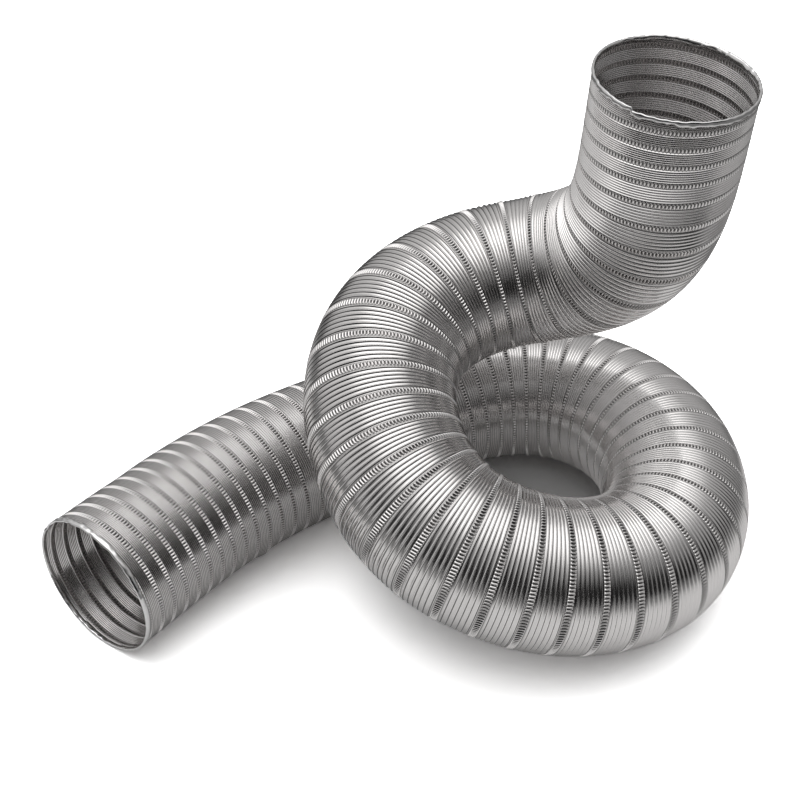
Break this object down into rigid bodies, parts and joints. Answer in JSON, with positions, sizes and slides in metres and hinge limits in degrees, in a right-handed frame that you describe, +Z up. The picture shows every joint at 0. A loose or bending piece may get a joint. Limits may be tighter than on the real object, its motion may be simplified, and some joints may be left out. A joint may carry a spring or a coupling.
{
  "type": "flexible air duct",
  "caption": "Flexible corrugated aluminium duct, open at both ends, curled in a loop with one end raised; it bends and stretches section by section.",
  "frame": {"origin": "floor level, under the middle of the duct's bounding box as it lies", "axes": "+Z up; +X towards the raised end, along the longest side of the box as the duct lies; +Y towards the back of the loop"},
  "size_m": [0.4946, 0.3402, 0.3603],
  "materials": {
    "corrugated_foil": "bright mill finish",
    "hem_foil": "bright, creased where it is folded"
  },
  "bodies": {
    "tail_turns_01": {"tail_turns_01": "corrugated_foil", "tail_hem": "hem_foil"},
    "tail_turns_02": {"tail_turns_02": "corrugated_foil"},
    "tail_turns_03": {"tail_turns_03": "corrugated_foil"},
    "tail_turns_04": {"tail_turns_04": "corrugated_foil"},
    "tail_turns_05": {"tail_turns_05": "corrugated_foil"},
    "tail_turns_06": {"tail_turns_06": "corrugated_foil"},
    "tail_turns_07": {"tail_turns_07": "corrugated_foil"},
    "tail_turns_08": {"tail_turns_08": "corrugated_foil"},
    "tail_turns_09": {"tail_turns_09": "corrugated_foil"},
    "tail_turns_10": {"tail_turns_10": "corrugated_foil"},
    "loop_turns_01": {"loop_turns_01": "corrugated_foil"},
    "loop_turns_02": {"loop_turns_02": "corrugated_foil"},
    "loop_turns_03": {"loop_turns_03": "corrugated_foil"},
    "loop_turns_04": {"loop_turns_04": "corrugated_foil"},
    "loop_turns_05": {"loop_turns_05": "corrugated_foil"},
    "loop_turns_06": {"loop_turns_06": "corrugated_foil"},
    "loop_turns_07": {"loop_turns_07": "corrugated_foil"},
    "loop_turns_08": {"loop_turns_08": "corrugated_foil"},
    "loop_turns_09": {"loop_turns_09": "corrugated_foil"},
    "loop_turns_10": {"loop_turns_10": "corrugated_foil"},
    "loop_turns_11": {"loop_turns_11": "corrugated_foil"},
    "loop_turns_12": {"loop_turns_12": "corrugated_foil"},
    "loop_turns_13": {"loop_turns_13": "corrugated_foil"},
    "loop_turns_14": {"loop_turns_14": "corrugated_foil"},
    "loop_turns_15": {"loop_turns_15": "corrugated_foil"},
    "loop_turns_16": {"loop_turns_16": "corrugated_foil"},
    "loop_turns_17": {"loop_turns_17": "corrugated_foil"},
    "loop_turns_18": {"loop_turns_18": "corrugated_foil"},
    "loop_turns_19": {"loop_turns_19": "corrugated_foil"},
    "loop_turns_20": {"loop_turns_20": "corrugated_foil"},
    "loop_turns_21": {"loop_turns_21": "corrugated_foil"},
    "loop_turns_22": {"loop_turns_22": "corrugated_foil"},
    "loop_turns_23": {"loop_turns_23": "corrugated_foil"},
    "loop_turns_24": {"loop_turns_24": "corrugated_foil"},
    "loop_turns_25": {"loop_turns_25": "corrugated_foil"},
    "loop_turns_26": {"loop_turns_26": "corrugated_foil"},
    "loop_turns_27": {"loop_turns_27": "corrugated_foil"},
    "loop_turns_28": {"loop_turns_28": "corrugated_foil"},
    "riser_turns_01": {"riser_turns_01": "corrugated_foil"},
    "riser_turns_02": {"riser_turns_02": "corrugated_foil"},
    "riser_turns_03": {"riser_turns_03": "corrugated_foil"},
    "riser_turns_04": {"riser_turns_04": "corrugated_foil"},
    "riser_turns_05": {"riser_turns_05": "corrugated_foil"},
    "riser_turns_06": {"riser_turns_06": "corrugated_foil"},
    "riser_turns_07": {"riser_turns_07": "corrugated_foil"},
    "riser_turns_08": {"riser_turns_08": "corrugated_foil", "riser_hem": "hem_foil"}
  },
  "joints": [
    {"name": "loop_back_bend", "type": "hinge", "parent": "loop_turns_10", "child": "loop_turns_09", "pos_m": [0.19372, 0.02609, 0.052], "axis": [0, 0, -1], "range_deg": [-0.8, 4]},
    {"name": "loop_turns_08_bend", "type": "hinge", "parent": "loop_turns_09", "child": "loop_turns_08", "pos_m": [0.18589, 0.05255, 0.052], "axis": [0, 0, -1], "range_deg": [-0.8, 4]},
    {"name": "loop_turns_07_bend", "type": "hinge", "parent": "loop_turns_08", "child": "loop_turns_07", "pos_m": [0.17259, 0.07673, 0.052], "axis": [0, 0, -1], "range_deg": [-0.8, 4]},
    {"name": "loop_turns_06_bend", "type": "hinge", "parent": "loop_turns_07", "child": "loop_turns_06", "pos_m": [0.15374, 0.09684, 0.052], "axis": [0, 0, -1], "range_deg": [-0.8, 4]},
    {"name": "loop_turns_05_bend", "type": "hinge", "parent": "loop_turns_06", "child": "loop_turns_05", "pos_m": [0.13004, 0.1109, 0.052], "axis": [0, 0, -1], "range_deg": [-0.8, 4]},
    {"name": "loop_turns_04_bend", "type": "hinge", "parent": "loop_turns_05", "child": "loop_turns_04", "pos_m": [0.10331, 0.11761, 0.052], "axis": [0, 0, -1], "range_deg": [-0.8, 4]},
    {"name": "loop_turns_03_bend", "type": "hinge", "parent": "loop_turns_04", "child": "loop_turns_03", "pos_m": [0.07575, 0.11686, 0.052], "axis": [0, 0, -1], "range_deg": [-0.8, 4]},
    {"name": "loop_turns_02_bend", "type": "hinge", "parent": "loop_turns_03", "child": "loop_turns_02", "pos_m": [0.04906, 0.1098, 0.052], "axis": [0, 0, -1], "range_deg": [-0.8, 4]},
    {"name": "loop_turns_01_bend", "type": "hinge", "parent": "loop_turns_02", "child": "loop_turns_01", "pos_m": [0.02387, 0.09843, 0.052], "axis": [0, 0, -1], "range_deg": [-0.8, 4]},
    {"name": "tail_bend", "type": "hinge", "parent": "loop_turns_01", "child": "tail_turns_10", "pos_m": [-0.0004, 0.08518, 0.052], "axis": [0, 0, -1], "range_deg": [-3, 3]},
    {"name": "tail_stretch", "type": "slide", "parent": "tail_turns_10", "child": "tail_turns_09", "axis": [-0.8746, -0.4848, 0], "range_m": [-0.002, 0.01]},
    {"name": "tail_turns_08_bend", "type": "hinge", "parent": "tail_turns_09", "child": "tail_turns_08", "pos_m": [-0.04866, 0.05819, 0.052], "axis": [0, 0, -1], "range_deg": [-3, 3]},
    {"name": "tail_turns_07_stretch", "type": "slide", "parent": "tail_turns_08", "child": "tail_turns_07", "axis": [-0.8361, -0.5485, 0], "range_m": [-0.002, 0.01]},
    {"name": "tail_turns_06_bend", "type": "hinge", "parent": "tail_turns_07", "child": "tail_turns_06", "pos_m": [-0.09478, 0.02772, 0.052], "axis": [0, 0, -1], "range_deg": [-3, 3]},
    {"name": "tail_turns_05_stretch", "type": "slide", "parent": "tail_turns_06", "child": "tail_turns_05", "axis": [-0.744, -0.6682, 0], "range_m": [-0.002, 0.01]},
    {"name": "tail_turns_04_bend", "type": "hinge", "parent": "tail_turns_05", "child": "tail_turns_04", "pos_m": [-0.13591, -0.00916, 0.052], "axis": [0, 0, -1], "range_deg": [-3, 3]},
    {"name": "tail_turns_03_stretch", "type": "slide", "parent": "tail_turns_04", "child": "tail_turns_03", "axis": [-0.6507, -0.7593, 0], "range_m": [-0.002, 0.01]},
    {"name": "tail_turns_02_bend", "type": "hinge", "parent": "tail_turns_03", "child": "tail_turns_02", "pos_m": [-0.17209, -0.05096, 0.052], "axis": [0, 0, -1], "range_deg": [-3, 3]},
    {"name": "tail_turns_01_stretch", "type": "slide", "parent": "tail_turns_02", "child": "tail_turns_01", "axis": [-0.6293, -0.7771, 0], "range_m": [-0.002, 0.01]},
    {"name": "loop_front_bend", "type": "hinge", "parent": "loop_turns_10", "child": "loop_turns_11", "pos_m": [0.19579, -0.00144, 0.05201], "axis": [0, 0.0022, 1], "range_deg": [-0.8, 3]},
    {"name": "loop_turns_12_bend", "type": "hinge", "parent": "loop_turns_11", "child": "loop_turns_12", "pos_m": [0.19274, -0.02888, 0.05228], "axis": [0.0041, 0.0196, 0.9998], "range_deg": [-0.8, 3]},
    {"name": "loop_turns_13_bend", "type": "hinge", "parent": "loop_turns_12", "child": "loop_turns_13", "pos_m": [0.18437, -0.05517, 0.05326], "axis": [0.0213, 0.0487, 0.9986], "range_deg": [-0.8, 3]},
    {"name": "loop_turns_14_bend", "type": "hinge", "parent": "loop_turns_13", "child": "loop_turns_14", "pos_m": [0.17042, -0.07887, 0.05532], "axis": [0.0603, 0.0774, 0.9952], "range_deg": [-0.8, 3]},
    {"name": "loop_turns_15_bend", "type": "hinge", "parent": "loop_turns_14", "child": "loop_turns_15", "pos_m": [0.15077, -0.09788, 0.05876], "axis": [0.1228, 0.0889, 0.9884], "range_deg": [-0.8, 3]},
    {"name": "loop_turns_16_bend", "type": "hinge", "parent": "loop_turns_15", "child": "loop_turns_16", "pos_m": [0.12684, -0.11062, 0.06375], "axis": [0.1967, 0.0734, 0.9777], "range_deg": [-0.8, 3]},
    {"name": "loop_turns_17_bend", "type": "hinge", "parent": "loop_turns_16", "child": "loop_turns_17", "pos_m": [0.10085, -0.11709, 0.07038], "axis": [0.2672, 0.0363, 0.963], "range_deg": [-0.8, 3]},
    {"name": "loop_turns_18_bend", "type": "hinge", "parent": "loop_turns_17", "child": "loop_turns_18", "pos_m": [0.07452, -0.11772, 0.07865], "axis": [0.3261, -0.029, 0.9449], "range_deg": [-0.8, 3]},
    {"name": "loop_turns_19_bend", "type": "hinge", "parent": "loop_turns_18", "child": "loop_turns_19", "pos_m": [0.04924, -0.11257, 0.08844], "axis": [0.3606, -0.1196, 0.925], "range_deg": [-0.8, 3]},
    {"name": "loop_turns_20_bend", "type": "hinge", "parent": "loop_turns_19", "child": "loop_turns_20", "pos_m": [0.02661, -0.10144, 0.09959], "axis": [0.35, -0.2401, 0.9055], "range_deg": [-0.8, 3]},
    {"name": "upper_limb_bend", "type": "hinge", "parent": "loop_turns_20", "child": "loop_turns_21", "pos_m": [0.00856, -0.08458, 0.11182], "axis": [0.284, -0.3596, 0.8888], "range_deg": [-0.8, 3]},
    {"name": "loop_turns_22_bend", "type": "hinge", "parent": "loop_turns_21", "child": "loop_turns_22", "pos_m": [-0.00364, -0.06353, 0.12481], "axis": [0.1814, -0.4434, 0.8778], "range_deg": [-0.8, 3]},
    {"name": "loop_turns_23_bend", "type": "hinge", "parent": "loop_turns_22", "child": "loop_turns_23", "pos_m": [-0.01013, -0.04025, 0.13814], "axis": [0.0777, -0.4732, 0.8775], "range_deg": [-0.8, 3]},
    {"name": "loop_turns_24_bend", "type": "hinge", "parent": "loop_turns_23", "child": "loop_turns_24", "pos_m": [-0.01105, -0.01585, 0.151], "axis": [-0.0434, -0.4431, 0.8954], "range_deg": [-0.8, 3]},
    {"name": "loop_turns_25_bend", "type": "hinge", "parent": "loop_turns_24", "child": "loop_turns_25", "pos_m": [-0.00486, 0.00839, 0.16255], "axis": [-0.1526, -0.3558, 0.922], "range_deg": [-0.8, 3]},
    {"name": "loop_turns_26_bend", "type": "hinge", "parent": "loop_turns_25", "child": "loop_turns_26", "pos_m": [0.00894, 0.03015, 0.17228], "axis": [-0.2083, -0.2363, 0.9491], "range_deg": [-0.8, 3]},
    {"name": "loop_turns_27_bend", "type": "hinge", "parent": "loop_turns_26", "child": "loop_turns_27", "pos_m": [0.0292, 0.04719, 0.17994], "axis": [-0.2034, -0.1274, 0.9708], "range_deg": [-0.8, 3]},
    {"name": "loop_turns_28_bend", "type": "hinge", "parent": "loop_turns_27", "child": "loop_turns_28", "pos_m": [0.05371, 0.05847, 0.18564], "axis": [-0.1673, -0.0521, 0.9845], "range_deg": [-0.8, 3]},
    {"name": "riser_turns_01_bend", "type": "hinge", "parent": "loop_turns_28", "child": "riser_turns_01", "pos_m": [0.08048, 0.06304, 0.19038], "axis": [-0.1853, -0.0066, 0.9827], "range_deg": [-0.8, 3]},
    {"name": "riser_bend", "type": "hinge", "parent": "riser_turns_01", "child": "riser_turns_02", "pos_m": [0.10717, 0.0605, 0.19677], "axis": [0.2224, 0.975, 0], "range_deg": [-0.8, 4]},
    {"name": "riser_stretch", "type": "slide", "parent": "riser_turns_02", "child": "riser_turns_03", "axis": [0.7862, -0.3916, 0.478], "range_m": [-0.001, 0.008]},
    {"name": "riser_turns_04_bend", "type": "hinge", "parent": "riser_turns_03", "child": "riser_turns_04", "pos_m": [0.14984, 0.04015, 0.22364], "axis": [0.6145, 0.7889, 0], "range_deg": [-0.8, 4]},
    {"name": "riser_turns_05_stretch", "type": "slide", "parent": "riser_turns_04", "child": "riser_turns_05", "axis": [0.3156, -0.3299, 0.8897], "range_m": [-0.001, 0.008]},
    {"name": "riser_turns_06_bend", "type": "hinge", "parent": "riser_turns_05", "child": "riser_turns_06", "pos_m": [0.16804, 0.02226, 0.27193], "axis": [0.7727, 0.6348, 0], "range_deg": [-0.8, 4]},
    {"name": "riser_turns_07_stretch", "type": "slide", "parent": "riser_turns_06", "child": "riser_turns_07", "axis": [0.0864, -0.1067, 0.9905], "range_m": [-0.001, 0.008]},
    {"name": "riser_turns_08_bend", "type": "hinge", "parent": "riser_turns_07", "child": "riser_turns_08", "pos_m": [0.17342, 0.01562, 0.32652], "axis": [0.7771, 0.6293, 0], "range_deg": [-0.8, 4]}
  ],
  "couplings": [
    {"joint": "loop_turns_08_bend", "follows": "loop_back_bend", "ratio": 1},
    {"joint": "loop_turns_07_bend", "follows": "loop_back_bend", "ratio": 1},
    {"joint": "loop_turns_06_bend", "follows": "loop_back_bend", "ratio": 1},
    {"joint": "loop_turns_05_bend", "follows": "loop_back_bend", "ratio": 1},
    {"joint": "loop_turns_04_bend", "follows": "loop_back_bend", "ratio": 1},
    {"joint": "loop_turns_03_bend", "follows": "loop_back_bend", "ratio": 1},
    {"joint": "loop_turns_02_bend", "follows": "loop_back_bend", "ratio": 1},
    {"joint": "loop_turns_01_bend", "follows": "loop_back_bend", "ratio": 1},
    {"joint": "tail_turns_08_bend", "follows": "tail_bend", "ratio": 1},
    {"joint": "tail_turns_07_stretch", "follows": "tail_stretch", "ratio": 1},
    {"joint": "tail_turns_06_bend", "follows": "tail_bend", "ratio": 1},
    {"joint": "tail_turns_05_stretch", "follows": "tail_stretch", "ratio": 1},
    {"joint": "tail_turns_04_bend", "follows": "tail_bend", "ratio": 1},
    {"joint": "tail_turns_03_stretch", "follows": "tail_stretch", "ratio": 1},
    {"joint": "tail_turns_02_bend", "follows": "tail_bend", "ratio": 1},
    {"joint": "tail_turns_01_stretch", "follows": "tail_stretch", "ratio": 1},
    {"joint": "loop_turns_12_bend", "follows": "loop_front_bend", "ratio": 1},
    {"joint": "loop_turns_13_bend", "follows": "loop_front_bend", "ratio": 1},
    {"joint": "loop_turns_14_bend", "follows": "loop_front_bend", "ratio": 1},
    {"joint": "loop_turns_15_bend", "follows": "loop_front_bend", "ratio": 1},
    {"joint": "loop_turns_16_bend", "follows": "loop_front_bend", "ratio": 1},
    {"joint": "loop_turns_17_bend", "follows": "loop_front_bend", "ratio": 1},
    {"joint": "loop_turns_18_bend", "follows": "loop_front_bend", "ratio": 1},
    {"joint": "loop_turns_19_bend", "follows": "loop_front_bend", "ratio": 1},
    {"joint": "loop_turns_20_bend", "follows": "loop_front_bend", "ratio": 1},
    {"joint": "loop_turns_22_bend", "follows": "upper_limb_bend", "ratio": 1},
    {"joint": "loop_turns_23_bend", "follows": "upper_limb_bend", "ratio": 1},
    {"joint": "loop_turns_24_bend", "follows": "upper_limb_bend", "ratio": 1},
    {"joint": "loop_turns_25_bend", "follows": "upper_limb_bend", "ratio": 1},
    {"joint": "loop_turns_26_bend", "follows": "upper_limb_bend", "ratio": 1},
    {"joint": "loop_turns_27_bend", "follows": "upper_limb_bend", "ratio": 1},
    {"joint": "loop_turns_28_bend", "follows": "upper_limb_bend", "ratio": 1},
    {"joint": "riser_turns_01_bend", "follows": "upper_limb_bend", "ratio": 1},
    {"joint": "riser_turns_04_bend", "follows": "riser_bend", "ratio": 1},
    {"joint": "riser_turns_05_stretch", "follows": "riser_stretch", "ratio": 1},
    {"joint": "riser_turns_06_bend", "follows": "riser_bend", "ratio": 1},
    {"joint": "riser_turns_07_stretch", "follows": "riser_stretch", "ratio": 1},
    {"joint": "riser_turns_08_bend", "follows": "riser_bend", "ratio": 1}
  ]
}
